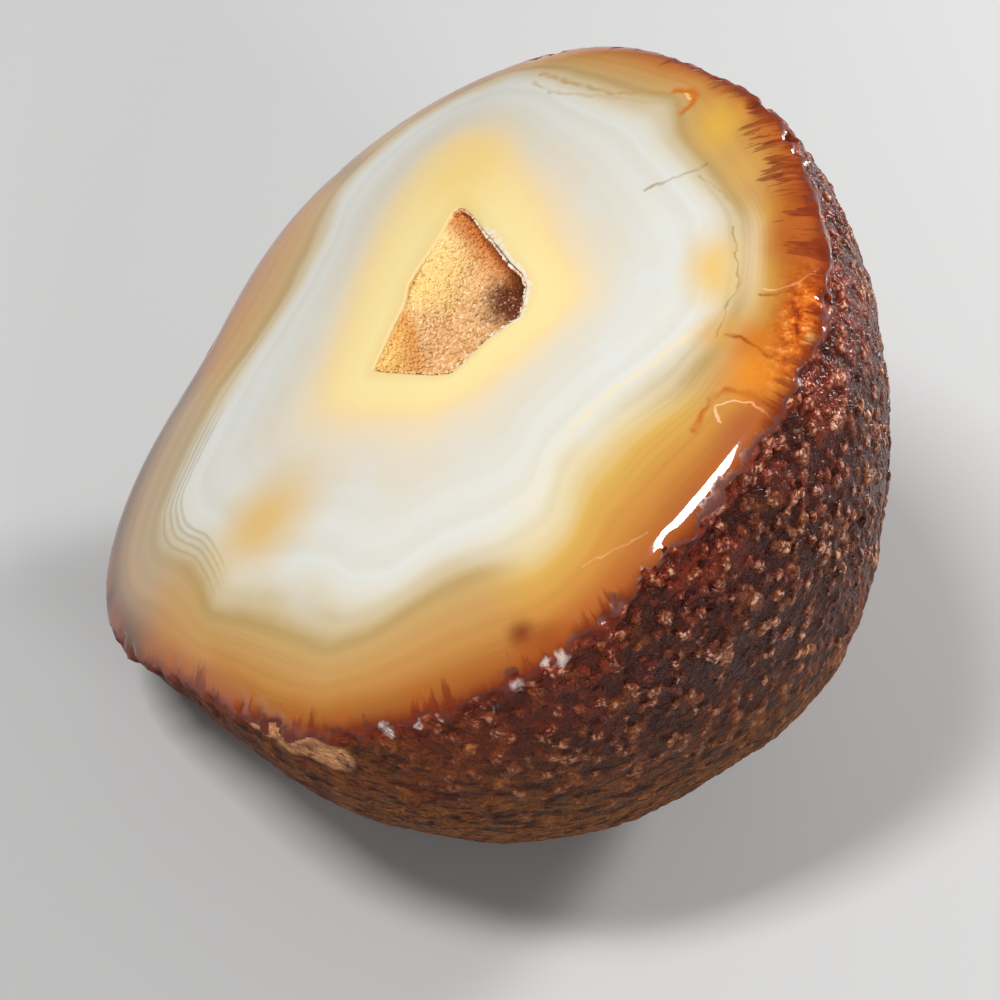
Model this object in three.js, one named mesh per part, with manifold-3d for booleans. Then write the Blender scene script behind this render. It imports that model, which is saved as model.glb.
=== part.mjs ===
// A Brazilian agate nodule: one stone with a polished, slightly domed face that leans to -X, a rough
// rind everywhere else, and a small triangular pocket in the face, lined with a crust of quartz points.
// Millimetres, +Z up. The stone rests on a small flat spot at z = 0, and its box is centred on X and Y.

import * as THREE from 'three';
import { mergeVertices } from 'three/addons/utils/BufferGeometryUtils.js';
import Module from 'manifold-3d';

const wasm = await Module();
wasm.setup();

// The rounded stone, before its face is cut: radii in plan every 30 degrees, counterclockwise from +X.
const STONE_CENTRE = new THREE.Vector3( 4.7, - 2.5, 26.4 );
const PLAN_RADII = [ 26.5, 27, 29, 35.5, 39, 35, 43.5, 34.5, 33, 31.5, 29, 28.5 ];
const TOP_HEIGHT = 32.5;
const FLAT_SPOT_SAG = 0.3;
const ROUNDNESS = 2.5;

// The polished face: part of a large sphere, tilted from level and turned about Z.
const FACE_TILT = THREE.MathUtils.degToRad( 34 );
const FACE_HEADING = THREE.MathUtils.degToRad( 189 );
const FACE_DISTANCE = 14.2;
const FACE_DOME_RADIUS = 108;
const RIM_SHARPNESS = 18;

// The rind: broad lumps, and a pit of some depth at each point of the mesh.
const LUMP_HEIGHT = 0.4;
const LUMP_LENGTHS = [ 15, 9.5, 6.3 ];
const PIT_DEPTH = 0.9;
const RIND_STARTS = 0.02;
const RIND_FULL = 0.12;
const SMOOTH_FOOT = 2.5;
const SMOOTH_POLE = 0.6;

// How finely the stone is faceted.
const STONE_SEGMENTS = 88;
const FACE_RINGS = [ 0.2, 0.38, 0.54, 0.68, 0.8, 0.89, 0.95, 1 ];
const RIND_RINGS = 27;
const RIND_SPACING = 1.12;

// The pocket's mouth on the face, in millimetres right and up from the middle of the face.
const MOUTH = [
	[ 7.6, 1.8 ], [ 7.2, 3.4 ], [ 5.9, 5.4 ], [ 4.4, 8.6 ], [ 2.9, 11.6 ], [ 1.1, 14.1 ],
	[ 0.1, 13.2 ], [ - 1.4, 10.2 ], [ - 3.4, 7.6 ], [ - 3.8, 5.8 ], [ - 4.9, 3 ], [ - 6.3, 0 ],
	[ - 3.2, - 1.8 ], [ 0, - 3.6 ], [ 1.2, - 3.7 ], [ 2.9, - 2.9 ], [ 5.4, - 1.3 ], [ 7.2, - 0.6 ],
];
const POCKET_MIDDLE = new THREE.Vector2( 1.5, 3 );
const POCKET_DEPTH = 10;
const POCKET_DRIFT = new THREE.Vector2( 1.4, 0.4 );
const POCKET_SEGMENTS = 36;
const POCKET_RINGS = 6;
const CUTTER_RISE = 4;

// The block that cuts the flat spot.
const GROUND_SIZE = 100;

// The crust of quartz points that lines the pocket.
const CRUST_GAP = 0.3;
const CRUST_THICKNESS = 0.8;
const CRUST_RECESS = 0.3;
const CRYSTAL_HEIGHT = 0.9;

const faceNormal = new THREE.Vector3(
	Math.sin( FACE_TILT ) * Math.cos( FACE_HEADING ),
	Math.sin( FACE_TILT ) * Math.sin( FACE_HEADING ),
	Math.cos( FACE_TILT ),
);
const faceRight = new THREE.Vector3( 1, 0, 0 ).addScaledVector( faceNormal, - faceNormal.x ).normalize();
const faceUp = new THREE.Vector3().crossVectors( faceNormal, faceRight );
const facePole = faceNormal.clone().negate();
const domeCentre = faceNormal.clone().multiplyScalar( FACE_DISTANCE - FACE_DOME_RADIUS );

// A repeatable number from 0 to 1 for a pair of whole numbers.
function scatter( i, j ) {

	const value = Math.sin( i * 127.1 + j * 311.7 ) * 43758.5453;
	return value - Math.floor( value );

}

// The plan radius at an angle: a smooth closed curve through the given radii.
function planRadius( angle ) {

	const count = PLAN_RADII.length;
	const place = THREE.MathUtils.euclideanModulo( angle / ( 2 * Math.PI ) * count, count );
	const index = Math.floor( place ) % count;
	const part = place - Math.floor( place );
	const before = PLAN_RADII[ ( index + count - 1 ) % count ];
	const start = PLAN_RADII[ index ];
	const end = PLAN_RADII[ ( index + 1 ) % count ];
	const after = PLAN_RADII[ ( index + 2 ) % count ];
	const curve = 2 * before - 5 * start + 4 * end - after + part * ( 3 * ( start - end ) + after - before );
	return start + 0.5 * part * ( end - before + part * curve );

}

// Distance from the stone's centre to its uncut, rounded outside.
function roundedRadius( direction ) {

	const across = Math.hypot( direction.x, direction.y ) / planRadius( Math.atan2( direction.y, direction.x ) );
	const height = direction.z > 0 ? TOP_HEIGHT : STONE_CENTRE.z + FLAT_SPOT_SAG;
	const upright = Math.abs( direction.z ) / height;
	return Math.pow( Math.pow( across, ROUNDNESS ) + Math.pow( upright, ROUNDNESS ), - 1 / ROUNDNESS );

}

// Distance from the stone's centre to the sphere of the polished face.
function domeRadius( direction ) {

	const along = direction.dot( domeCentre );
	return along + Math.sqrt( along * along - domeCentre.lengthSq() + FACE_DOME_RADIUS * FACE_DOME_RADIUS );

}

// How far a direction lies past the face's rim: below zero on the face, above zero on the rind.
function pastRim( direction ) {

	return Math.log( domeRadius( direction ) / roundedRadius( direction ) );

}

// The stone's surface, with its rim rounded over, before the rind's relief.
function stoneRadius( direction ) {

	const rounded = Math.pow( roundedRadius( direction ), - RIM_SHARPNESS );
	const domed = Math.pow( domeRadius( direction ), - RIM_SHARPNESS );
	return Math.pow( rounded + domed, - 1 / RIM_SHARPNESS );

}

// Broad lumps of the rind at a point of the surface, from -1 to 1.
function lumps( point ) {

	let height = 0;
	for ( const [ order, length ] of LUMP_LENGTHS.entries() ) {

		const turn = 2 * Math.PI / length;
		const x = Math.sin( turn * point.x + 1.3 * order + Math.sin( turn * point.y * 0.8 ) );
		const y = Math.sin( turn * point.y + 2.1 * order + Math.sin( turn * point.z * 0.7 ) );
		const z = Math.sin( turn * point.z + 0.7 * order + Math.sin( turn * point.x * 0.9 ) );
		height += x * y + y * z + z * x;

	}

	return height / ( 3 * LUMP_LENGTHS.length );

}

// A point of the finished surface, with relief on the rind only and none near the flat spot. The pits fade
// out at the pole behind the face, where the mesh is finest.
function stonePoint( direction, ring, segment ) {

	const point = direction.clone().multiplyScalar( stoneRadius( direction ) ).add( STONE_CENTRE );
	const rind = THREE.MathUtils.smoothstep( pastRim( direction ), RIND_STARTS, RIND_FULL );
	const clearOfFoot = THREE.MathUtils.smoothstep( point.z, 0, SMOOTH_FOOT );
	const clearOfPole = THREE.MathUtils.smoothstep( direction.angleTo( facePole ), 0, SMOOTH_POLE );
	const pit = PIT_DEPTH * clearOfPole * Math.pow( scatter( ring, segment ), 3 );
	const relief = LUMP_HEIGHT * ( lumps( point ) - 1 ) - pit;
	return point.addScaledVector( direction, rind * clearOfFoot * relief );

}

// The direction at an angle from the face's normal, in the half plane turned by a heading.
function faceDirection( fromNormal, heading ) {

	const sideways = faceRight.clone().multiplyScalar( Math.cos( heading ) );
	sideways.addScaledVector( faceUp, Math.sin( heading ) );
	return sideways.multiplyScalar( Math.sin( fromNormal ) ).addScaledVector( faceNormal, Math.cos( fromNormal ) );

}

// The angle from the face's normal at which the rim lies, found by halving.
function rimAngle( heading ) {

	let onFace = 0;
	let onRind = Math.PI * 0.75;
	for ( let step = 0; step < 30; step ++ ) {

		const middle = ( onFace + onRind ) / 2;
		if ( pastRim( faceDirection( middle, heading ) ) > 0 ) onRind = middle;
		else onFace = middle;

	}

	return ( onFace + onRind ) / 2;

}

// A closed surface from a first point, through rings of equal length, to a last point. Where peak gives a
// point for a cell between two rings, the cell is raised to it.
function ringedGeometry( first, rings, last, peak = () => null ) {

	const segments = rings[ 0 ].length;
	const points = [ first, ...rings.flat() ];
	const faces = [];
	for ( let i = 0; i < segments; i ++ ) {

		const j = ( i + 1 ) % segments;
		faces.push( 0, 1 + i, 1 + j );
		for ( let ring = 0; ring < rings.length - 1; ring ++ ) {

			const here = 1 + ring * segments;
			const next = here + segments;
			const top = peak( ring, i );
			if ( top ) {

				const apex = points.push( top ) - 1;
				faces.push( here + i, next + i, apex, next + i, next + j, apex );
				faces.push( next + j, here + j, apex, here + j, here + i, apex );

			} else {

				faces.push( here + i, next + i, next + j, here + i, next + j, here + j );

			}

		}

	}

	const end = points.push( last ) - 1;
	const lowest = 1 + ( rings.length - 1 ) * segments;
	for ( let i = 0; i < segments; i ++ ) faces.push( lowest + i, end, lowest + ( i + 1 ) % segments );
	return new THREE.BufferGeometry().setFromPoints( points ).setIndex( faces );

}

function toManifold( geometry ) {

	return new wasm.Manifold( new wasm.Mesh( {
		numProp: 3,
		vertProperties: Float32Array.from( geometry.getAttribute( 'position' ).array ),
		triVerts: Uint32Array.from( geometry.getIndex().array ),
	} ) );

}

function fromManifold( solid ) {

	const mesh = solid.getMesh();
	const geometry = new THREE.BufferGeometry();
	geometry.setAttribute( 'position', new THREE.BufferAttribute( mesh.vertProperties, 3 ) );
	geometry.setIndex( new THREE.BufferAttribute( mesh.triVerts, 1 ) );
	return geometry;

}

// The whole stone, with its rings of points closer together at the rim.
function stoneGeometry() {

	const rings = Array.from( { length: FACE_RINGS.length + RIND_RINGS - 1 }, () => [] );
	for ( let segment = 0; segment < STONE_SEGMENTS; segment ++ ) {

		const heading = segment / STONE_SEGMENTS * 2 * Math.PI;
		const rim = rimAngle( heading );
		const angles = FACE_RINGS.map( ( part ) => part * rim );
		for ( let ring = 1; ring < RIND_RINGS; ring ++ ) {

			angles.push( rim + ( Math.PI - rim ) * Math.pow( ring / RIND_RINGS, RIND_SPACING ) );

		}

		angles.forEach( ( angle, ring ) => {

			rings[ ring ].push( stonePoint( faceDirection( angle, heading ), ring, segment ) );

		} );

	}

	const first = stonePoint( faceNormal, 0, 0 );
	const last = stonePoint( facePole, 0, 0 );
	return ringedGeometry( first, rings, last );

}

// A block under z = 0, which cuts the small flat spot.
function groundGeometry() {

	const block = new THREE.BoxGeometry( GROUND_SIZE, GROUND_SIZE, GROUND_SIZE );
	block.translate( 0, 0, - GROUND_SIZE / 2 ).deleteAttribute( 'normal' ).deleteAttribute( 'uv' );
	return mergeVertices( block );

}

// The height of the dome over the tangent plane at the face's middle, which is never above zero.
function domeSag( right, up ) {

	return Math.sqrt( FACE_DOME_RADIUS * FACE_DOME_RADIUS - right * right - up * up ) - FACE_DOME_RADIUS;

}

// A point given in millimetres right, up and out from the middle of the face.
function onFace( right, up, out ) {

	return STONE_CENTRE.clone()
		.addScaledVector( faceRight, right )
		.addScaledVector( faceUp, up )
		.addScaledVector( faceNormal, FACE_DISTANCE + out );

}

// The mouth's outline as evenly spaced points, each with the direction that leads away from the wall.
const mouthCurve = new THREE.CatmullRomCurve3( MOUTH.map( ( [ x, y ] ) => new THREE.Vector3( x, y, 0 ) ), true );
const mouth = Array.from( { length: POCKET_SEGMENTS }, ( _, segment ) => {

	const place = mouthCurve.getPointAt( segment / POCKET_SEGMENTS );
	const along = mouthCurve.getTangentAt( segment / POCKET_SEGMENTS );
	return { arm: new THREE.Vector2( place.x, place.y ).sub( POCKET_MIDDLE ), inward: new THREE.Vector2( - along.y, along.x ) };

} );

// A ring of points on the pocket's bowl. Level runs from 0 at the mouth to 1 at the bottom. Inset shrinks
// the bowl away from its wall, shrink pulls the ring towards its middle, and lift raises it.
function pocketRing( level, inset = 0, shrink = 0, lift = 0 ) {

	const width = Math.sqrt( 1 - level * level );
	return mouth.map( ( { arm, inward } ) => {

		const place = arm.clone().addScaledVector( inward, inset );
		place.multiplyScalar( width * ( 1 - shrink / place.length() ) );
		place.add( POCKET_MIDDLE ).addScaledVector( POCKET_DRIFT, level );
		const depth = level * ( POCKET_DEPTH - inset - shrink );
		return onFace( place.x, place.y, domeSag( place.x, place.y ) - depth + lift );

	} );

}

function pocketBottom( inset = 0, shrink = 0 ) {

	const middle = POCKET_MIDDLE.clone().add( POCKET_DRIFT );
	return onFace( middle.x, middle.y, domeSag( middle.x, middle.y ) - POCKET_DEPTH + inset + shrink );

}

const pocketLevels = Array.from( { length: POCKET_RINGS }, ( _, ring ) => Math.sin( ring / POCKET_RINGS * Math.PI / 2 ) );

function pocketGeometry() {

	const rings = pocketLevels.map( ( level ) => pocketRing( level ) );
	const top = onFace( POCKET_MIDDLE.x, POCKET_MIDDLE.y, CUTTER_RISE );
	return ringedGeometry( top, [ pocketRing( 0, 0, 0, CUTTER_RISE ), ...rings ], pocketBottom() );

}

// The crust is a cup: its inside runs up from the bottom with a quartz point on each cell, then its
// outside runs down again along the pocket's wall.
function crustGeometry() {

	const inside = pocketLevels.map( ( level ) => pocketRing( level, CRUST_GAP, CRUST_THICKNESS, - CRUST_RECESS ) );
	const outside = pocketLevels.map( ( level ) => pocketRing( level, CRUST_GAP, 0, - CRUST_RECESS * ( 1 - level ) ) );
	inside.reverse();
	const middle = onFace( POCKET_MIDDLE.x, POCKET_MIDDLE.y, 0 );
	const crystal = ( ring, segment ) => {

		if ( ring >= inside.length - 1 ) return null;
		const next = ( segment + 1 ) % POCKET_SEGMENTS;
		const corners = [ inside[ ring ][ segment ], inside[ ring ][ next ], inside[ ring + 1 ][ segment ], inside[ ring + 1 ][ next ] ];
		const base = new THREE.Vector3();
		for ( const corner of corners ) base.addScaledVector( corner, 1 / corners.length );
		const reach = CRYSTAL_HEIGHT * ( 0.3 + 0.7 * scatter( ring, segment ) );
		return base.addScaledVector( middle.clone().sub( base ).normalize(), reach );

	};

	return ringedGeometry(
		pocketBottom( CRUST_GAP, CRUST_THICKNESS ),
		[ ...inside, ...outside ],
		pocketBottom( CRUST_GAP ),
		crystal,
	);

}

function namedMesh( name, geometry, material ) {

	const mesh = new THREE.Mesh( geometry, material );
	mesh.name = name;
	return mesh;

}

const noduleSolid = toManifold( stoneGeometry() )
	.subtract( toManifold( groundGeometry() ) )
	.subtract( toManifold( pocketGeometry() ) );

const agateFinish = new THREE.MeshStandardMaterial( { color: 0xc9a878, roughness: 0.3, metalness: 0 } );
const druseFinish = new THREE.MeshStandardMaterial( { color: 0xd9ad7a, roughness: 0.5, metalness: 0 } );

const agate = new THREE.Group();
agate.add( namedMesh( 'agate_nodule', fromManifold( noduleSolid ), agateFinish ) );
agate.add( namedMesh( 'druse_crust', crustGeometry(), druseFinish ) );

export default agate;
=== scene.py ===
"""Looks of a Brazilian agate nodule: a polished, banded face, a rough brown rind and a druse-lined pocket.

Sizes are in millimetres until a mesh is made. The stone's form repeats the CAD model's own values.
"""

import math

import bpy
import numpy as np
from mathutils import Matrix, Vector, noise


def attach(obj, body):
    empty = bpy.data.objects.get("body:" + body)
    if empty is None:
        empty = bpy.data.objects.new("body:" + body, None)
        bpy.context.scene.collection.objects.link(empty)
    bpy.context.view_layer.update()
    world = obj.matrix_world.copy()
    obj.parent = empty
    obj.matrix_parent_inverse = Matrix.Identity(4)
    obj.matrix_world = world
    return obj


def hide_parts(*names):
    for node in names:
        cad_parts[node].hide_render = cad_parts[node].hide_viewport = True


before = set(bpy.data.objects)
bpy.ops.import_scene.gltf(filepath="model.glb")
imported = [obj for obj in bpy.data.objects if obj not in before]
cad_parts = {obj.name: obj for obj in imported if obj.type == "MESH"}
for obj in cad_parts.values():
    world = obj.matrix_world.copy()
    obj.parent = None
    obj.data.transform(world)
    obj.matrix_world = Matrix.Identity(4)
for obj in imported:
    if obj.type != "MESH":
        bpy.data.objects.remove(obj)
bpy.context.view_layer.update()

MM = 0.001
RANDOM_SEED = 11

# The rounded stone: radii in plan every 30 degrees, counterclockwise from +X.
STONE_CENTRE = np.array([4.7, -2.5, 26.4])
PLAN_RADII = np.array([26.5, 27, 29, 35.5, 39, 35, 43.5, 34.5, 33, 31.5, 29, 28.5])
TOP_HEIGHT = 32.5
FLAT_SPOT_SAG = 0.3
ROUNDNESS = 2.5

# The polished face: part of a large sphere, tilted from level and turned about Z.
FACE_TILT = math.radians(34)
FACE_HEADING = math.radians(189)
FACE_DISTANCE = 14.2
FACE_DOME_RADIUS = 108
RIM_SHARPNESS = 18

# The rind: the CAD model's broad lumps, then swells, nubs and pits too fine for it.
LUMP_HEIGHT = 0.4
LUMP_LENGTHS = [15, 9.5, 6.3]
SWELL_HEIGHT = 0.12
SWELL_SIZE = 3.4
NUB_HEIGHT = 0.36
NUB_SIZE = 0.8
NUB_STRETCH = 0.75
PIT_DEPTH = 0.16
PIT_SIZE = 1.9
RELIEF_SINK = 0.42
SMOOTH_FOOT = 1.5

# The rim: how far past it the rind starts, and the small chips along it.
LIP_WIDTH = 0.1
WIDE_LIP = -0.1
WIDE_LIP_PLACE = np.array([20.0, -21.0])
WIDE_LIP_REACH = 9.0
LIP_BLEND = 1.6
CHIP_SPACING = 1.9
CHIP_DEPTH = 0.5
CHIP_REACH = 0.9

# Where the rind is glossy and knobbly: past these heights and places to the right.
GLOSS_HEIGHTS = (12.0, 34.0)
GLOSS_PLACES = (-12.0, 14.0)
MATT_RELIEF = 0.4

# The pocket under its triangular mouth.
POCKET_MIDDLE = np.array([1.5, 3.0])
POCKET_DEPTH = 10
POCKET_DRIFT = np.array([1.4, 0.4])
MOUTH_BEVEL = 0.12

# How finely the stone is meshed: closer near the rim and towards the glossy side.
SEGMENTS = 620
CROWDED_HEADING = math.radians(-30)
HEADING_CROWDING = 0.4
POCKET_RINGS = 5
FACE_RINGS = 44
RIND_RINGS = 240
FACE_CROWDING = 1.3
RIND_CROWDING = 1.45

# Where the polish ends, as a part of the rind's full relief.
POLISH_END = 0.1

# The crust of quartz points in the pocket.
CRYSTAL_COUNT = 10000
CRYSTAL_RADIUS = (0.09, 0.16)
CRYSTAL_LENGTH = (0.04, 0.16)
CRYSTAL_LEAN = 0.3
CRYSTAL_TIP = 0.4
CRYSTAL_ROOT = 0.1
CRUST_INSET = 0.2
CRUST_BRIM = 0.2
CRUST_DEPTH = 9.2
LEFT_WALL_START = np.array([-6.4, 0.2])
LEFT_WALL_ACROSS = np.array([0.892, -0.452])
LEFT_WALL_SLOPE = 1.1
RIGHT_WALL_ACROSS = np.array([0.868, 0.497])
# Middle of the painted shade in the pocket's right corner, under the overhang.
SHADED_CORNER = (3.7, 5.4, 0.0)
BACK_WALL_DEPTH = 1.9
BACK_WALL_SLOPE = 0.36
CRUST_SEGMENTS = 120
CRUST_RINGS = 24

# Outlines on the face, in millimetres right and up from its middle, counterclockwise.
MOUTH = [
    (7.5, 1.8), (7.1, 3.2), (6.0, 5.0), (4.7, 7.6), (3.4, 10.0), (2.3, 12.3), (1.5, 13.6), (0.7, 14.2),
    (0.1, 13.3), (-1.0, 11.0), (-2.5, 9.0), (-3.4, 7.5), (-3.6, 5.6), (-4.7, 3.6), (-5.7, 1.5),
    (-6.4, 0.2), (-5.0, -0.8), (-2.5, -2.2), (-0.5, -3.3), (0.9, -3.8), (2.2, -3.2), (4.0, -2.0),
    (5.6, -1.4), (7.0, -1.0),
]
HALO = [
    (13.0, -1.5), (11.0, 4.0), (9.5, 9.0), (7.5, 14.0), (5.5, 18.5), (3.0, 22.5), (-0.5, 25.5),
    (-4.5, 24.0), (-6.5, 19.0), (-8.5, 13.0), (-10.0, 8.0), (-11.5, 3.0), (-12.5, -1.0),
    (-9.0, -3.5), (-5.0, -5.5), (-1.0, -7.5), (3.0, -7.0), (8.0, -5.0),
]
FINE_LINE = [
    (22.8, -2.0), (22.5, 3.0), (20.5, 7.5), (18.5, 12.0), (17.0, 15.5), (13.5, 19.5), (10.0, 23.5),
    (7.0, 27.5), (3.0, 30.5), (-2.0, 31.5), (-7.0, 30.5), (-11.0, 28.0), (-13.0, 25.0), (-13.2, 20.0),
    (-15.0, 15.5), (-18.5, 11.0), (-22.0, 7.0), (-24.5, 3.5), (-27.5, -0.5), (-26.3, -4.0),
    (-23.7, -6.3), (-22.0, -9.3), (-20.8, -12.3), (-16.0, -14.3), (-12.0, -16.5), (-9.5, -19.5),
    (-6.0, -20.0), (-1.0, -19.0), (4.0, -19.5), (7.5, -18.0), (9.0, -14.5), (14.0, -11.5),
    (19.0, -9.0), (22.0, -6.5),
]
WHITE_EDGE = [
    (24.6, -2.0), (24.6, 1.5), (22.9, 6.0), (21.3, 9.5), (19.8, 13.0), (19.4, 17.5), (16.2, 20.0),
    (12.6, 24.0), (9.0, 28.0), (5.5, 30.8), (2.5, 32.4), (-2.5, 33.0), (-7.0, 32.6), (-10.5, 31.0),
    (-14.0, 28.3), (-15.3, 24.0), (-15.5, 20.0), (-17.3, 15.5), (-20.8, 11.2), (-24.5, 8.8),
    (-27.3, 5.2), (-29.0, 2.2), (-30.8, -0.8), (-30.6, -4.0), (-28.5, -6.2), (-26.0, -8.0),
    (-24.3, -11.0), (-23.2, -14.0), (-19.0, -16.5), (-15.0, -19.2), (-11.5, -22.3), (-7.0, -22.5),
    (-2.5, -21.5), (2.0, -21.2), (6.5, -22.0), (9.3, -20.5), (10.8, -17.0), (14.0, -14.5),
    (18.5, -12.8), (21.8, -9.5), (24.0, -5.5),
]

# Each outline's value on the band scale, and how far its corners are eased, in degrees.
OUTLINES = [(MOUTH, 0.0, 1.2), (HALO, 1.0, 6.0), (FINE_LINE, 1.75, 1.5), (WHITE_EDGE, 2.0, 1.5)]
RIM_BAND = 3.0

# Colours across the bands on a scale from 0 at the mouth to 3 at the rim, as they look on screen.
BAND_SPAN = 3.2
COMMON_BANDS = [
    (0.00, (250, 217, 152)), (0.25, (254, 230, 166)), (0.60, (253, 226, 161)), (0.86, (246, 220, 166)),
    (1.00, (240, 219, 180)), (1.14, (229, 219, 198)), (1.36, (225, 222, 211)), (1.66, (226, 226, 219)),
    (1.80, (222, 212, 188)), (1.92, (210, 190, 150)), (2.02, (192, 161, 106)), (2.20, (204, 164, 104)),
    (2.42, (202, 153, 88)), (2.62, (196, 138, 70)), (2.82, (178, 111, 46)), (3.00, (134, 62, 24)),
]
GOLDEN_BANDS = [
    (1.75, (231, 225, 206)), (1.90, (230, 215, 178)), (2.02, (226, 202, 148)), (2.20, (219, 176, 92)),
    (2.42, (212, 158, 74)), (2.62, (202, 138, 62)), (2.82, (186, 112, 50)), (3.00, (140, 66, 30)),
]
MAUVE_BANDS = [
    (1.75, (224, 217, 198)), (1.90, (208, 194, 164)), (2.02, (186, 164, 124)), (2.20, (188, 163, 128)),
    (2.42, (190, 160, 126)), (2.62, (160, 130, 104)), (2.82, (112, 84, 72)), (3.00, (86, 50, 38)),
]
RED_BANDS = [
    (1.75, (230, 226, 212)), (1.94, (226, 212, 184)), (2.08, (224, 202, 164)), (2.20, (220, 186, 128)),
    (2.36, (205, 150, 66)), (2.60, (185, 108, 32)), (2.84, (150, 66, 14)), (3.00, (112, 40, 12)),
]

# Where the golden and the red bands take over: middle, half width and half height.
GOLDEN_SIDE = ((15.0, -22.0), 17.0, 15.0)
RED_SIDE = ((30.0, -4.0), 9.0, 15.0)

# Where the outer bands turn greyish mauve: middle, half width and half height.
MAUVE_SIDE = ((-38.0, 6.0), 19.0, 30.0)

# Where fine dark lines show between the white and the tan: middle, half width and half height.
LINED_SIDE = ((-25.0, -3.0), 9.0, 13.0)
LINE_BANDS = [1.765, 1.81, 1.86, 1.92]

# Where the pocket's lip is crumbly and pale: middle, half width and half height.
CRUMBLY_LIP = ((6.5, 5.0), 5.5, 9.0)

# Soft patches of colour on the face: middle, half width, half height, colour and strength.
FACE_PATCHES = [
    ((-17.4, -8.6), 9.0, 6.5, (228, 190, 116), 0.95),
    ((22.0, -2.6), 3.4, 5.6, (236, 196, 108), 0.9),
    ((22.7, 12.6), 2.9, 5.4, (224, 178, 70), 0.85),
    ((24.6, 7.0), 2.6, 4.4, (216, 168, 84), 0.6),
    ((1.0, 18.5), 6.5, 9.5, (253, 214, 124), 0.6),
    ((27.6, -1.4), 2.8, 4.2, (178, 90, 34), 0.85),
    ((28.8, -7.6), 2.8, 3.4, (212, 98, 20), 0.9),
    ((24.2, -12.6), 4.0, 4.0, (230, 140, 34), 0.95),
    ((22.0, -8.4), 3.0, 2.4, (226, 168, 76), 0.6),
    ((24.6, -9.8), 3.2, 2.4, (208, 116, 18), 0.85),
    ((23.2, -17.4), 3.6, 3.4, (170, 96, 58), 0.85),
    ((-14.5, 31.0), 5.0, 4.0, (146, 120, 96), 0.6),
    ((1.0, 34.5), 16.0, 3.4, (150, 96, 60), 0.7),
    ((4.6, -26.9), 1.7, 1.5, (122, 44, 12), 0.85),
    ((6.6, -28.6), 3.4, 2.3, (118, 40, 12), 0.95),
]

# Thin marks on the face: points, half width, colour and strength.
FACE_MARKS = [
    ([(17.1, 7.5), (19.1, 7.8), (20.6, 8.0), (22.0, 8.4)], 0.28, (160, 134, 88), 0.75),
    ([(21.4, 7.3), (22.5, 5.5), (23.6, 3.8)], 0.14, (188, 164, 116), 0.8),
    ([(23.7, 0.9), (23.8, -2.5), (23.7, -4.7), (22.6, -6.6), (21.9, -8.7)], 0.16, (178, 146, 84), 0.8),
    ([(18.2, 17.4), (12.0, 22.0), (8.0, 25.0), (6.0, 28.0)], 0.35, (206, 178, 128), 0.6),
    ([(19.0, 18.4), (14.0, 21.0), (10.0, 25.0), (6.5, 29.0)], 0.4, (192, 152, 84), 0.7),
    ([(19.3, 18.7), (20.4, 18.3), (20.9, 17.3), (20.7, 16.2), (19.9, 15.5)], 0.62, (206, 112, 22), 1.0),
    # A painted highlight inside the small orange curl before it.
    ([(20.1, 17.9), (20.5, 16.9)], 0.2, (255, 200, 130), 0.9),
    ([(25.2, -6.0), (26.2, -6.4), (27.2, -6.2)], 0.22, (150, 96, 30), 0.8),
    ([(25.4, -5.6), (26.2, -5.9), (27.2, -5.7), (28.2, -5.2), (29.2, -4.4)], 0.13, (250, 184, 134), 1.0),
    ([(26.7, -9.7), (27.4, -9.4), (28.1, -9.8), (28.0, -10.7), (26.8, -10.8)], 0.16, (240, 160, 70), 1.0),
    ([(26.2, -9.4), (27.4, -8.9), (28.6, -9.6)], 0.14, (130, 52, 12), 0.8),
    ([(22.4, -8.8), (23.5, -9.4), (24.6, -10.8), (26.8, -13.0)], 0.24, (164, 76, 10), 0.9),
    ([(25.0, -10.6), (26.2, -11.4), (27.0, -12.4), (27.2, -13.4)], 0.16, (246, 158, 76), 0.9),
    ([(19.4, -16.0), (20.8, -13.9), (21.9, -13.4), (23.3, -13.9), (24.6, -15.4)], 0.45, (190, 92, 16), 0.8),
    ([(21.2, -15.8), (21.1, -14.5), (22.4, -14.4), (23.5, -14.8), (24.4, -16.0)], 0.13, (255, 196, 148), 1.0),
    ([(10.4, -12.8), (14.0, -10.8), (18.0, -9.0), (20.5, -7.4)], 0.7, (247, 226, 176), 0.5),
    ([(10.0, -23.7), (15.0, -22.6)], 0.11, (240, 190, 124), 0.45),
]

# The worn edge of the polish, and how the red plumes grow from the rim.
WORN_EDGE = (92, 32, 16)
PLUME_RED = (120, 40, 10)
GLOW_ORANGE = (186, 98, 34)
PLUME_SIDE = ((30.0, 8.0), 10.0, 17.0)
FLECKED_SIDE = ((28.0, -9.5), 6.0, 8.0)
FLECK_TONES = [(0.36, (120, 34, 8)), (0.47, (196, 82, 14)), (0.58, (228, 128, 36)), (0.70, (255, 196, 120))]
CALM_SIDE = ((17.0, -20.5), 9.0, 8.0)

# Colours of the rind, as they look on screen.
RIND_TONES = [(0.30, (50, 16, 4)), (0.44, (90, 36, 9)), (0.58, (128, 62, 22)), (0.76, (172, 104, 54))]
# Painted shade for the pits, the gaps between nubs and the creases.
RIND_PAINTED_SHADE = (62, 19, 7)
# Painted highlight for the tops of glossy nubs.
RIND_PAINTED_GLINT = (218, 168, 142)
RIND_RED = (136, 46, 20)
RIND_LOW = (135, 82, 32)
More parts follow.
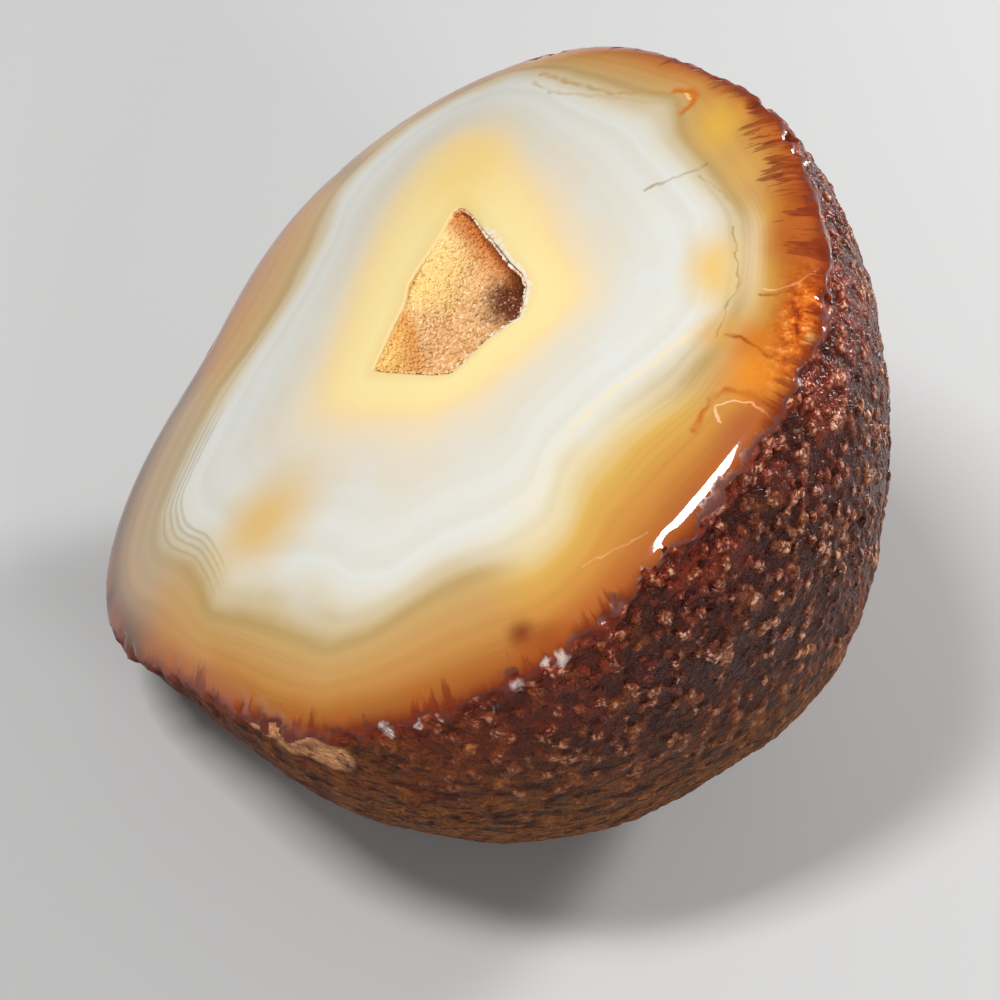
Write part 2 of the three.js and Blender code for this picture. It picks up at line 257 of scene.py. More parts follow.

# The smooth tan chip below the rim, and painted highlights along it, pale spots where small chips glint: place,
# size and strength.
CHIP_PLACES = [(-17.0, -26.2, 20.2), (-13.2, -29.3, 21.3), (-10.6, -31.1, 21.5)]
CHIP_WIDTH = 2.2
CHIP_COLOUR = (212, 150, 104)
PAINTED_GLINT_SPOTS = [
    ((-6.8, -32.1, 26.2), 1.0, 0.95), ((-4.4, -32.8, 27.7), 0.5, 0.5), ((-3.0, -33.1, 28.6), 0.5, 0.5),
    ((0.4, -33.7, 30.2), 1.0, 0.7), ((1.9, -33.9, 30.2), 0.5, 0.5), ((2.7, -33.3, 32.3), 0.8, 0.6),
    ((4.4, -32.6, 34.2), 0.5, 0.6), ((5.6, -32.6, 34.7), 0.8, 0.6),
]
GLINT_SPOT_PALE = (250, 232, 222)

# The camera looks down at 45 degrees from in front of the stone.
CAMERA_PLACE = (1.3, -160.1, 177.5)
CAMERA_ELEVATION = 45
CAMERA_LENS = 100.8

face_normal = np.array([
    math.sin(FACE_TILT) * math.cos(FACE_HEADING),
    math.sin(FACE_TILT) * math.sin(FACE_HEADING),
    math.cos(FACE_TILT),
])
face_right = np.array([1.0, 0.0, 0.0]) - face_normal[0] * face_normal
face_right /= np.linalg.norm(face_right)
face_up = np.cross(face_normal, face_right)
dome_centre = face_normal * (FACE_DISTANCE - FACE_DOME_RADIUS)


def unit(vectors):
    """The vectors at length one."""
    return vectors / np.linalg.norm(vectors, axis=-1, keepdims=True)


def smoothstep(value, low, high):
    part = np.clip((value - low) / (high - low), 0, 1)
    return part * part * (3 - 2 * part)


def plan_radius(angle):
    """The plan radius at an angle, on a smooth closed curve through PLAN_RADII."""
    count = len(PLAN_RADII)
    place = (angle / (2 * math.pi) * count) % count
    index = np.floor(place).astype(int) % count
    part = place - np.floor(place)
    before = PLAN_RADII[(index - 1) % count]
    start = PLAN_RADII[index]
    end = PLAN_RADII[(index + 1) % count]
    after = PLAN_RADII[(index + 2) % count]
    curve = 2 * before - 5 * start + 4 * end - after + part * (3 * (start - end) + after - before)
    return start + 0.5 * part * (end - before + part * curve)


def rounded_radius(way):
    """Distance from the stone's centre to its uncut outside."""
    across = np.hypot(way[..., 0], way[..., 1]) / plan_radius(np.arctan2(way[..., 1], way[..., 0]))
    height = np.where(way[..., 2] > 0, TOP_HEIGHT, STONE_CENTRE[2] + FLAT_SPOT_SAG)
    upright = np.abs(way[..., 2]) / height
    return (across ** ROUNDNESS + upright ** ROUNDNESS) ** (-1 / ROUNDNESS)


def dome_radius(way):
    """Distance from the stone's centre to the sphere of the polished face."""
    along = way @ dome_centre
    return along + np.sqrt(along ** 2 - dome_centre @ dome_centre + FACE_DOME_RADIUS ** 2)


def past_rim(way):
    """Below zero on the face, above zero on the rind."""
    return np.log(dome_radius(way) / rounded_radius(way))


def stone_radius(way):
    """Distance to the stone's surface with its rim rounded over."""
    rounded = rounded_radius(way) ** -RIM_SHARPNESS
    domed = dome_radius(way) ** -RIM_SHARPNESS
    return (rounded + domed) ** (-1 / RIM_SHARPNESS)


def lumps(points):
    """The CAD model's broad lumps, from -1 to 1."""
    height = np.zeros(len(points))
    for order, length in enumerate(LUMP_LENGTHS):
        turn = 2 * math.pi / length
        x, y, z = (points * turn).T
        wave_x = np.sin(x + 1.3 * order + np.sin(y * 0.8))
        wave_y = np.sin(y + 2.1 * order + np.sin(z * 0.7))
        wave_z = np.sin(z + 0.7 * order + np.sin(x * 0.9))
        height += wave_x * wave_y + wave_y * wave_z + wave_z * wave_x
    return height / (3 * len(LUMP_LENGTHS))


def dome_sag(place):
    """Height of the dome over the plane that touches the face's middle, never above zero."""
    return np.sqrt(FACE_DOME_RADIUS ** 2 - (place ** 2).sum(-1)) - FACE_DOME_RADIUS


def on_face(place, out):
    """Points given right, up and out from the middle of the face."""
    flat = place[..., :1] * face_right + place[..., 1:2] * face_up
    return STONE_CENTRE + flat + (FACE_DISTANCE + out)[..., None] * face_normal


def face_coordinates(points):
    """Right, up and out from the middle of the face, for points in space."""
    arm = points - STONE_CENTRE - FACE_DISTANCE * face_normal
    return np.stack([arm @ face_right, arm @ face_up, arm @ face_normal], -1)


def outline_radius(outline, angles, easing=1.2):
    """Distance from the pocket's middle to a closed outline, at each angle, with its corners eased."""
    fine = np.radians(np.arange(720) / 2)
    arms = np.array(outline) - POCKET_MIDDLE
    ends = np.roll(arms, -1, axis=0)
    ways = np.stack([np.cos(fine), np.sin(fine)], -1)
    edge = ends - arms
    cross = ways[:, None, 0] * edge[None, :, 1] - ways[:, None, 1] * edge[None, :, 0]
    cross = np.where(np.abs(cross) < 1e-9, 1e-9, cross)
    length = (arms[:, 0] * edge[:, 1] - arms[:, 1] * edge[:, 0]) / cross
    part = (arms[None, :, 0] * ways[:, None, 1] - arms[None, :, 1] * ways[:, None, 0]) / cross
    met = (part >= 0) & (part <= 1) & (length > 0)
    radius = np.where(met, length, 0).max(1)
    reach = math.ceil(6 * easing)
    weights = np.exp(-0.5 * (np.arange(-reach, reach + 1) / (2 * easing)) ** 2)
    padded = np.concatenate([radius[-reach:], radius, radius[:reach]])
    radius = np.convolve(padded, weights / weights.sum(), mode="valid")
    return np.interp(angles, fine, radius, period=2 * math.pi)


def rim_ways(ways_at):
    """The angle from the pocket's axis at which each heading meets the rim, found by halving."""
    on_face_side = np.zeros(SEGMENTS)
    on_rind_side = np.full(SEGMENTS, 0.8 * math.pi)
    for _ in range(30):
        middle = (on_face_side + on_rind_side) / 2
        outside = past_rim(ways_at(middle)) > 0
        on_rind_side = np.where(outside, middle, on_rind_side)
        on_face_side = np.where(outside, on_face_side, middle)
    return (on_face_side + on_rind_side) / 2


even_headings = np.arange(SEGMENTS) / SEGMENTS * 2 * math.pi
headings = even_headings - HEADING_CROWDING * np.sin(even_headings - CROWDED_HEADING)
in_plane = np.cos(headings)[:, None] * face_right + np.sin(headings)[:, None] * face_up
pocket_axis = unit(on_face(POCKET_MIDDLE, dome_sag(POCKET_MIDDLE)) - STONE_CENTRE)
sideways = unit(in_plane - (in_plane @ pocket_axis)[:, None] * pocket_axis)


def way_at(angle):
    """Directions from the stone's centre, one for each heading, at an angle from the pocket's axis."""
    return np.cos(angle)[:, None] * pocket_axis + np.sin(angle)[:, None] * sideways


rim_angle = rim_ways(way_at)
rim_points = STONE_CENTRE + way_at(rim_angle) * stone_radius(way_at(rim_angle))[:, None]
rim_places = face_coordinates(rim_points)[:, :2] - POCKET_MIDDLE
rim_turn = np.arctan2(rim_places[:, 1], rim_places[:, 0]) % (2 * math.pi)
rim_order = np.argsort(rim_turn)
rim_turn = rim_turn[rim_order]
rim_reach = np.hypot(rim_places[:, 0], rim_places[:, 1])[rim_order]


def face_fields(points):
    """Face place, band, the rim's place on the same ray and the distance past it in the face's plane."""
    place = face_coordinates(points)
    arm = place[:, :2] - POCKET_MIDDLE
    turn = np.arctan2(arm[:, 1], arm[:, 0]) % (2 * math.pi)
    reach = np.hypot(arm[:, 0], arm[:, 1])
    rim = np.interp(turn, rim_turn, rim_reach, period=2 * math.pi)
    radii = [outline_radius(outline, turn, easing) for outline, _, easing in OUTLINES] + [rim]
    values = [value for _, value, _ in OUTLINES] + [RIM_BAND]
    band = np.zeros(len(points))
    for inner, outer, start, end in zip(radii[:-1], radii[1:], values[:-1], values[1:]):
        part = np.clip((reach - inner) / np.maximum(outer - inner, 0.3), 0, 1)
        band += part * (end - start)
    band += np.clip(reach - rim, 0, None) / 10
    nearest = np.stack([POCKET_MIDDLE[0] + rim * np.cos(turn), POCKET_MIDDLE[1] + rim * np.sin(turn)], -1)
    return place, band, nearest, reach - rim


def pocket_ring(level, inset):
    """A ring of points on the pocket's bowl, from level 0 at the mouth to 1 at the bottom."""
    radius = outline_radius(MOUTH, headings) - inset
    width = math.sqrt(1 - level * level)
    arm = np.stack([np.cos(headings), np.sin(headings)], -1) * (radius * width)[:, None]
    place = arm + POCKET_MIDDLE + POCKET_DRIFT * level
    return on_face(place, dome_sag(place) - level * (POCKET_DEPTH - inset))


def rind_relief(points, rough, gloss):
    """The rind's fine relief in millimetres, strongest where it is glossy, and a number for each nub."""
    height = np.zeros(len(points))
    tone = np.zeros(len(points))
    for index in np.nonzero(rough > 0)[0]:
        place = Vector(points[index])
        bent = place / NUB_SIZE + noise.noise_vector(place / NUB_SIZE) * 0.3
        bent.z *= NUB_STRETCH
        distances, centres = noise.voronoi(bent)
        tone[index] = noise.cell(centres[0] * 5)
        pit = noise.voronoi(place / PIT_SIZE)[0][0]
        height[index] = SWELL_HEIGHT * noise.noise(place / SWELL_SIZE)
        height[index] += NUB_HEIGHT * (0.5 + 0.5 * tone[index]) * max(0.0, 1 - (distances[0] / 0.75) ** 2)
        height[index] -= PIT_DEPTH * max(0.0, 1 - (pit / 0.28) ** 2)
    return height * (MATT_RELIEF + (1 - MATT_RELIEF) * gloss), tone


def rim_chips(points, edge):
    """The depth of the small chips that are broken out along the rim."""
    depth = np.zeros(len(points))
    for index in np.nonzero(np.abs(edge) < 3 * CHIP_REACH)[0]:
        place = Vector(points[index])
        near = noise.voronoi(place / CHIP_SPACING)[0][0]
        chipped = smoothstep(noise.noise(place / 9), -0.15, 0.2)
        fade = math.exp(-(edge[index] / CHIP_REACH) ** 2)
        depth[index] = CHIP_DEPTH * max(0.0, 1 - (near / 0.42) ** 2) * chipped * fade
    return depth


def mesh_object(name, points, faces):
    mesh = bpy.data.meshes.new(name)
    mesh.from_pydata([tuple(point * MM) for point in points], [], faces)
    mesh.polygons.foreach_set("use_smooth", [True] * len(mesh.polygons))
    mesh.update()
    piece = bpy.data.objects.new(name, mesh)
    bpy.context.scene.collection.objects.link(piece)
    return piece


def store(piece, name, values):
    """Keeps one number or one vector for each point of a mesh."""
    kind = "FLOAT_VECTOR" if values.ndim == 2 else "FLOAT"
    key = "vector" if values.ndim == 2 else "value"
    attribute = piece.data.attributes.new(name, kind, "POINT")
    attribute.data.foreach_set(key, values.astype(np.float32).ravel())


def ring_faces(ring_count, count):
    """Faces of a surface from point 0, through rings of count points, to the last point."""
    faces = [(0, 1 + i, 1 + (i + 1) % count) for i in range(count)]
    for ring in range(ring_count - 1):
        here = 1 + ring * count
        below = here + count
        for i in range(count):
            j = (i + 1) % count
            faces.append((here + i, below + i, below + j, here + j))
    lowest = 1 + (ring_count - 1) * count
    faces += [(lowest + i, lowest + count, lowest + (i + 1) % count) for i in range(count)]
    return faces


def cut_out(name, points, faces, fields):
    """A piece made of some of the stone's faces, with the fields its material needs."""
    kept = sorted({index for face in faces for index in face})
    order = {index: place for place, index in enumerate(kept)}
    piece = mesh_object(name, points[kept], [tuple(order[index] for index in face) for face in faces])
    for field, values in fields.items():
        store(piece, field, values[kept])
    return piece


def nodule():
    """The stone, meshed from the pocket's bottom over the face and round the rind, as its three pieces."""
    noise.seed_set(RANDOM_SEED)
    levels = np.sin(np.linspace(1, 0, POCKET_RINGS, endpoint=False) * math.pi / 2 * 0.96)
    rings = [pocket_ring(level, 0) for level in levels]
    mouth_place = np.stack([np.cos(headings), np.sin(headings)], -1) * outline_radius(MOUTH, headings)[:, None]
    mouth_place += POCKET_MIDDLE
    mouth_points = on_face(mouth_place, dome_sag(mouth_place))
    mouth_angle = np.arccos(np.clip(unit(mouth_points - STONE_CENTRE) @ pocket_axis, -1, 1))
    bevel = MOUTH_BEVEL / np.linalg.norm(mouth_points - STONE_CENTRE, axis=1)
    rings.append(mouth_points - face_normal * MOUTH_BEVEL)
    inner_count = 1 + SEGMENTS * len(rings)
    start = mouth_angle + 2 * bevel
    angles = [mouth_angle + bevel * part for part in (0.3, 1.0)]
    for part in np.linspace(1, 0, FACE_RINGS):
        angles.append(rim_angle - (rim_angle - start) * part ** FACE_CROWDING)
    for part in np.arange(1, RIND_RINGS) / RIND_RINGS:
        angles.append(rim_angle + (math.pi - rim_angle) * part ** RIND_CROWDING)
    for order, angle in enumerate(angles):
        way = way_at(angle)
        drop = MOUTH_BEVEL * 0.35 if order == 0 else 0
        rings.append(STONE_CENTRE + way * stone_radius(way)[:, None] - face_normal * drop)
    bottom_place = POCKET_MIDDLE + POCKET_DRIFT
    bottom = on_face(bottom_place, dome_sag(bottom_place) - POCKET_DEPTH)
    pole = STONE_CENTRE - pocket_axis * stone_radius(-pocket_axis)
    points = np.concatenate([bottom[None], *rings, pole[None]])

    way = unit(points - STONE_CENTRE)
    place, band, nearest, past = face_fields(points)
    rim_size = np.linalg.norm(rim_points - STONE_CENTRE, axis=1)
    arc = [(angle - rim_angle) * rim_size for angle in angles]
    arc = np.concatenate([np.full(inner_count, -1.0), *arc, [math.pi * rim_size.mean()]])
    edge = np.where(arc > 0, arc, past)
    wide = np.exp(-(((nearest - WIDE_LIP_PLACE) / WIDE_LIP_REACH) ** 2).sum(-1))
    lip = LIP_WIDTH + (WIDE_LIP - LIP_WIDTH) * wide
    ragged = np.array([noise.noise(Vector(point / 1.5)) for point in points])
    wear = edge - lip + 0.9 * ragged
    rough = smoothstep(wear, 0, LIP_BLEND)
    foot = smoothstep(points[:, 2], 0.2, SMOOTH_FOOT)
    gloss = smoothstep(points[:, 2], *GLOSS_HEIGHTS) * smoothstep(points[:, 0], *GLOSS_PLACES)
    fine, nub_tone = rind_relief(points, rough, gloss)
    broad = LUMP_HEIGHT * (lumps(points) - 1)
    shift = rough * (broad + fine - RELIEF_SINK) - (1 - wide) * rim_chips(points, edge)
    points = points + way * (foot * shift)[:, None]
    points[:, 2] = np.maximum(points[:, 2], 0)

    polish_fields = {
        "stone_place": points,
        "face_place": place,
        "rim_place": np.column_stack([nearest, edge]),
        "band": band,
        "wear": wear,
    }
    rind_fields = {
        "stone_place": points,
        "rim_edge": edge,
        "rough": rough,
        "relief": np.clip(fine / (NUB_HEIGHT * (MATT_RELIEF + (1 - MATT_RELIEF) * gloss)), -1, 1),
        "nub_tone": nub_tone,
        "gloss": gloss,
    }
    polish_faces, upper_faces, lower_faces = [], [], []
    lower_start = 1 + SEGMENTS * (len(rings) - RIND_RINGS // 2)
    roughness = rough.tolist()
    for face in ring_faces(len(rings), SEGMENTS):
        if max(face) > lower_start:
            lower_faces.append(face)
        elif max(roughness[index] for index in face) > POLISH_END:
            upper_faces.append(face)
        else:
            polish_faces.append(face)
    polish = cut_out("agate_polish", points, polish_faces, polish_fields)
    upper = cut_out("agate_rind_upper", points, upper_faces, rind_fields)
    lower = cut_out("agate_rind_lower", points, lower_faces, rind_fields)
    return polish, upper, lower


def crust_depth(place, bowl):
    """Depth of the crust below the face: the bowl, filled up to a slanted left wall and back wall."""
    across = (place - LEFT_WALL_START) @ LEFT_WALL_ACROSS
    left_wall = LEFT_WALL_SLOPE * across
    back_wall = BACK_WALL_DEPTH + BACK_WALL_SLOPE * across
    return CRUST_BRIM + np.clip(np.minimum(np.minimum(left_wall, back_wall), bowl), 0, None)


def crust_floor(level):
    """A coarse ring of the surface that the crystals grow from."""
    turn = np.arange(CRUST_SEGMENTS) / CRUST_SEGMENTS * 2 * math.pi
    radius = outline_radius(MOUTH, turn) - CRUST_INSET
    arm = np.stack([np.cos(turn), np.sin(turn)], -1) * (radius * math.sqrt(1 - level * level))[:, None]
    place = arm + POCKET_MIDDLE + POCKET_DRIFT * level
    return on_face(place, dome_sag(place) - crust_depth(place, level * CRUST_DEPTH))


def crystal(centre, way, radius, length, spin):
    """Thirteen points and twelve faces of one six-sided quartz point."""
    across = unit(np.cross(way, [0.3, 0.9, 0.2]))
    other = np.cross(way, across)
    turn = spin + np.arange(6) * math.pi / 3
    ring = np.cos(turn)[:, None] * across + np.sin(turn)[:, None] * other
    root = centre + ring * radius - way * CRYSTAL_ROOT
    shoulder = centre + ring * radius + way * (length - CRYSTAL_TIP * radius)
    tip = centre + way * length
    points = np.concatenate([root, shoulder, tip[None]])
    faces = []
    for i in range(6):
        j = (i + 1) % 6
        faces.append((i, j, 6 + j, 6 + i))
        faces.append((6 + i, 6 + j, 12))
    return points, faces


def druse():
    """A cup on the pocket's wall, covered with small quartz points."""
    rng = np.random.default_rng(RANDOM_SEED)
    levels = np.sin(np.linspace(1, 0, CRUST_RINGS, endpoint=False) * math.pi / 2 * 0.98)
    levels = np.append(levels, 0)
    rings = np.array([crust_floor(level) for level in levels])
    bottom_place = POCKET_MIDDLE + POCKET_DRIFT
    bottom = on_face(bottom_place, dome_sag(bottom_place) - crust_depth(bottom_place, CRUST_DEPTH))
    points = [bottom[None], rings.reshape(-1, 3)]
    faces = [face for face in ring_faces(len(rings), CRUST_SEGMENTS) if max(face) <= len(rings) * CRUST_SEGMENTS]
    across = np.roll(rings, -1, axis=1) - rings
    upward = np.roll(rings, -1, axis=0) - rings
    normals = np.cross(across, upward)[:-1]
    areas = np.linalg.norm(normals, axis=-1)
    normals = unit(normals)
    inward = unit(on_face(POCKET_MIDDLE, np.array(-3.0)) - rings[:-1])
    normals *= np.sign((normals * inward).sum(-1, keepdims=True))
    chosen = rng.choice(areas.size, CRYSTAL_COUNT, p=(areas / areas.sum()).ravel())
    ring_index, segment = np.unravel_index(chosen, areas.shape)
    grain = [np.full(1 + rings.shape[0] * CRUST_SEGMENTS, 0.5)]
    total = len(grain[0])
    for k, s in zip(ring_index, segment):
        part = rng.random(2)
        centre = rings[k, s] + across[k, s] * part[0] + upward[k, s] * part[1]
        way = unit(normals[k, s] + rng.normal(0, CRYSTAL_LEAN, 3))
        radius = rng.uniform(*CRYSTAL_RADIUS)
        length = rng.uniform(*CRYSTAL_LENGTH)
        more, sides = crystal(centre, way, radius, length, rng.uniform(0, math.pi))
        points.append(more)
        faces += [tuple(total + i for i in side) for side in sides]
        grain.append(np.full(len(more), rng.random()))
        total += len(more)
    points = np.concatenate(points)
    piece = mesh_object("druse_points", points, faces)
    piece.data.polygons.foreach_set("use_smooth", [False] * len(piece.data.polygons))
    place = face_coordinates(points)
    place[:, 2] -= dome_sag(place[:, :2])
    store(piece, "pocket_place", place)
    store(piece, "grain", np.concatenate(grain))
    return piece


def srgb(red, green, blue):
    """A colour given as 0 to 255 on screen, as the shader wants it."""
    parts = [value / 255 for value in (red, green, blue)]
    linear = [part / 12.92 if part <= 0.04045 else ((part + 0.055) / 1.055) ** 2.4 for part in parts]
    return (*linear, 1.0)


class Shader:
    """A small helper that adds nodes to a new material and joins them up."""

    def __init__(self, name):
        self.material = bpy.data.materials.new(name)
        self.material.use_nodes = True
        self.nodes = self.material.node_tree.nodes
        self.links = self.material.node_tree.links
        self.surface = self.nodes["Principled BSDF"]

    def put(self, socket, value):
        """Joins a socket to another node's output, or sets it to a value."""
        if isinstance(value, bpy.types.NodeSocket):
            self.links.new(value, socket)
        else:
            socket.default_value = value

    def attribute(self, name, output="Fac"):
        node = self.nodes.new("ShaderNodeAttribute")
        node.attribute_name = name
        return node.outputs[output]

    def math(self, operation, first, second=0.0, third=0.0):
        node = self.nodes.new("ShaderNodeMath")
        node.operation = operation
        for socket, value in zip(node.inputs, (first, second, third)):
            self.put(socket, value)
        return node.outputs[0]

    def vector(self, operation, first, second=(0.0, 0.0, 0.0), scale=1.0):
        node = self.nodes.new("ShaderNodeVectorMath")
        node.operation = operation
        self.put(node.inputs[0], first)
        self.put(node.inputs[1], second)
        if operation == "SCALE":
            self.put(node.inputs["Scale"], scale)
        return node.outputs["Value" if operation in ("LENGTH", "DISTANCE", "DOT_PRODUCT") else "Vector"]

    def step(self, value, low, high):
        """A smooth step from 0 to 1 between two values."""
        node = self.nodes.new("ShaderNodeMapRange")
        node.interpolation_type = "SMOOTHSTEP"
        node.clamp = False
        self.put(node.inputs["Value"], value)
        self.put(node.inputs["From Min"], low)
        self.put(node.inputs["From Max"], high)
        return node.outputs["Result"]

    def noise(self, place, scale, detail=3.0, roughness=0.5, output="Fac"):
        node = self.nodes.new("ShaderNodeTexNoise")
        self.put(node.inputs["Vector"], place)
        self.put(node.inputs["Scale"], scale)
        self.put(node.inputs["Detail"], detail)
        self.put(node.inputs["Roughness"], roughness)
        return node.outputs[output]

    def line_noise(self, place, scale, detail=2.0):
        """Noise along one coordinate."""
        node = self.nodes.new("ShaderNodeTexNoise")
        node.noise_dimensions = "1D"
        self.put(node.inputs["W"], place)
        self.put(node.inputs["Scale"], scale)
        self.put(node.inputs["Detail"], detail)
        return node.outputs["Fac"]

    def cells(self, place, scale):
        """Distance to the nearest of many scattered points, and a number that differs for each."""
        node = self.nodes.new("ShaderNodeTexVoronoi")
        self.put(node.inputs["Vector"], place)
        self.put(node.inputs["Scale"], scale)
        parts = self.nodes.new("ShaderNodeSeparateColor")
        self.put(parts.inputs[0], node.outputs["Color"])
        return node.outputs["Distance"], parts.outputs["Red"]

    def pushed(self, place, scale, amount, detail=2.0):
        """A place that a noise has pushed aside."""
        parts = self.nodes.new("ShaderNodeSeparateColor")
        self.put(parts.inputs[0], self.noise(place, scale, detail, output="Color"))
        push = self.nodes.new("ShaderNodeCombineXYZ")
        for socket, part in zip(push.inputs, parts.outputs):
            self.put(socket, part)
        centred = self.vector("SUBTRACT", push.outputs[0], (0.5, 0.5, 0.5))
        return self.vector("ADD", place, self.vector("SCALE", centred, scale=amount))

    def times(self, first, *others):
        """The product of several numbers or sockets."""
        for other in others:
            first = self.math("MULTIPLY", first, other)
        return first

    def split(self, place):
        """The X, Y and Z of a vector."""
        node = self.nodes.new("ShaderNodeSeparateXYZ")
        self.put(node.inputs[0], place)
        return node.outputs

    def ramp(self, value, stops):
        """A colour ramp from a list of (place, colour on screen)."""
        node = self.nodes.new("ShaderNodeValToRGB")
        self.put(node.inputs["Fac"], value)
        elements = node.color_ramp.elements
        while len(elements) < len(stops):
            elements.new(0.5)
        for element, (place, colour) in zip(elements, stops):
            element.position = place
            element.color = srgb(*colour)
        return node.outputs["Color"]

    def mix(self, part, first, second, blend="MIX"):
        node = self.nodes.new("ShaderNodeMix")
        node.data_type = "RGBA"
        node.blend_type = blend
        self.put(node.inputs["Factor"], part)
        self.put(node.inputs[6], first)
        self.put(node.inputs[7], second)
        return node.outputs[2]

    def bump(self, height, distance):
        node = self.nodes.new("ShaderNodeBump")
        self.put(node.inputs["Distance"], distance)
        self.put(node.inputs["Height"], height)
        return node.outputs["Normal"]


def patch(shader, flat, centre, width, height):
    """A soft oval patch on the face: 1 in its middle, 0 past its edge."""
    arm = shader.vector("SUBTRACT", flat, (*centre, 0.0))
    arm = shader.vector("MULTIPLY", arm, (1 / width, 1 / height, 0.0))
    return shader.step(shader.vector("LENGTH", arm), 1.0, 0.0)


def stroke(shader, place, points, width):
    """A soft line through some points: 1 on it, 0 past its width."""
    nearest = None
    for start, end in zip(points[:-1], points[1:]):
        side = Vector(end) - Vector(start)
        arm = shader.vector("SUBTRACT", place, start)
        along = shader.vector("DOT_PRODUCT", arm, side / side.length_squared)
        along = shader.math("MINIMUM", shader.math("MAXIMUM", along, 0.0), 1.0)
        foot = shader.vector("SCALE", side, scale=along)
        distance = shader.vector("LENGTH", shader.vector("SUBTRACT", arm, foot))
        nearest = distance if nearest is None else shader.math("MINIMUM", nearest, distance)
    return shader.step(nearest, width, 0.0)


def band_ramp(shader, band, stops):
    return shader.ramp(shader.math("DIVIDE", band, BAND_SPAN), [(value / BAND_SPAN, c) for value, c in stops])


def banded_colour(shader, flat):
    """The bands of the polished face, with their soft patches and thin marks."""
    wander = shader.math("SUBTRACT", shader.noise(flat, 0.12, 2.0), 0.5)
    ripple = shader.math("SUBTRACT", shader.noise(flat, 0.9, 2.0), 0.5)
    plain_band = shader.attribute("band")
    band = shader.math("MULTIPLY_ADD", wander, 0.10, plain_band)
    band = shader.math("MULTIPLY_ADD", ripple, 0.02, band)
    colour = band_ramp(shader, band, COMMON_BANDS)
    for bands, side in ((GOLDEN_BANDS, GOLDEN_SIDE), (RED_BANDS, RED_SIDE), (MAUVE_BANDS, MAUVE_SIDE)):
        part = shader.step(patch(shader, flat, *side), 0.05, 0.5)
        colour = shader.mix(part, colour, band_ramp(shader, band, bands))

    streak = shader.ramp(shader.line_noise(band, 4.5, 1.0), [(0.36, (238, 229, 212)), (0.60, (255, 255, 255))])
    colour = shader.mix(shader.times(shader.step(band, 1.0, 1.5), 0.35), colour, streak, "MULTIPLY")
    fine = shader.ramp(shader.line_noise(band, 18.0, 2.0), [(0.34, (222, 214, 198)), (0.52, (255, 255, 255))])
    scarce = shader.step(shader.noise(flat, 0.07, 2.0), 0.42, 0.62)
    fine_part = shader.times(shader.step(band, 1.6, 1.8), scarce, 0.24)
    colour = shader.mix(fine_part, colour, fine, "MULTIPLY")

    milky = shader.times(shader.step(band, 1.05, 1.3), shader.step(band, 2.0, 1.8))
    cloud = shader.step(shader.noise(flat, 0.09, 3.0, 0.6), 0.45, 0.75)
    colour = shader.mix(shader.times(milky, cloud, 0.5), colour, srgb(222, 228, 230))

    lined = shader.step(patch(shader, flat, *LINED_SIDE), 0.05, 0.4)
    even_band = shader.math("MULTIPLY_ADD", ripple, 0.012, plain_band)
    for value in LINE_BANDS:
        offset = shader.math("ABSOLUTE", shader.math("SUBTRACT", even_band, value))
        line = shader.times(shader.step(offset, 0.02, 0.0), lined, 0.4)
        colour = shader.mix(line, colour, srgb(150, 140, 112))

    crumbs = shader.noise(flat, 1.6, 3.0)
    lip = shader.math("MULTIPLY_ADD", ripple, 0.16, plain_band)
    lip = shader.times(shader.step(lip, 0.12, 0.06), shader.step(patch(shader, flat, *CRUMBLY_LIP), 0.0, 0.3))
    crumb_tone = shader.ramp(crumbs, [(0.36, (232, 190, 146)), (0.46, (255, 238, 214))])
    colour = shader.mix(shader.times(lip, 0.85), colour, crumb_tone)

    adrift = shader.pushed(flat, 0.35, 1.2, 3.0)
    for centre, width, height, tone, strength in FACE_PATCHES:
        spot = shader.times(patch(shader, adrift, centre, width, height), strength)
        colour = shader.mix(spot, colour, srgb(*tone))
    shaken = shader.vector("MULTIPLY", shader.pushed(flat, 0.9, 0.8), (1.0, 1.0, 0.0))
    patchy = shader.step(shader.noise(flat, 0.9, 2.0), 0.3, 0.6)
    patchy = shader.math("MULTIPLY_ADD", patchy, 0.6, 0.4)
    for points, width, tone, strength in FACE_MARKS:
        mark = stroke(shader, shaken, [(*point, 0.0) for point in points], width)
        mark = shader.times(mark, patchy, strength)
        colour = shader.mix(mark, colour, srgb(*tone))
    return colour


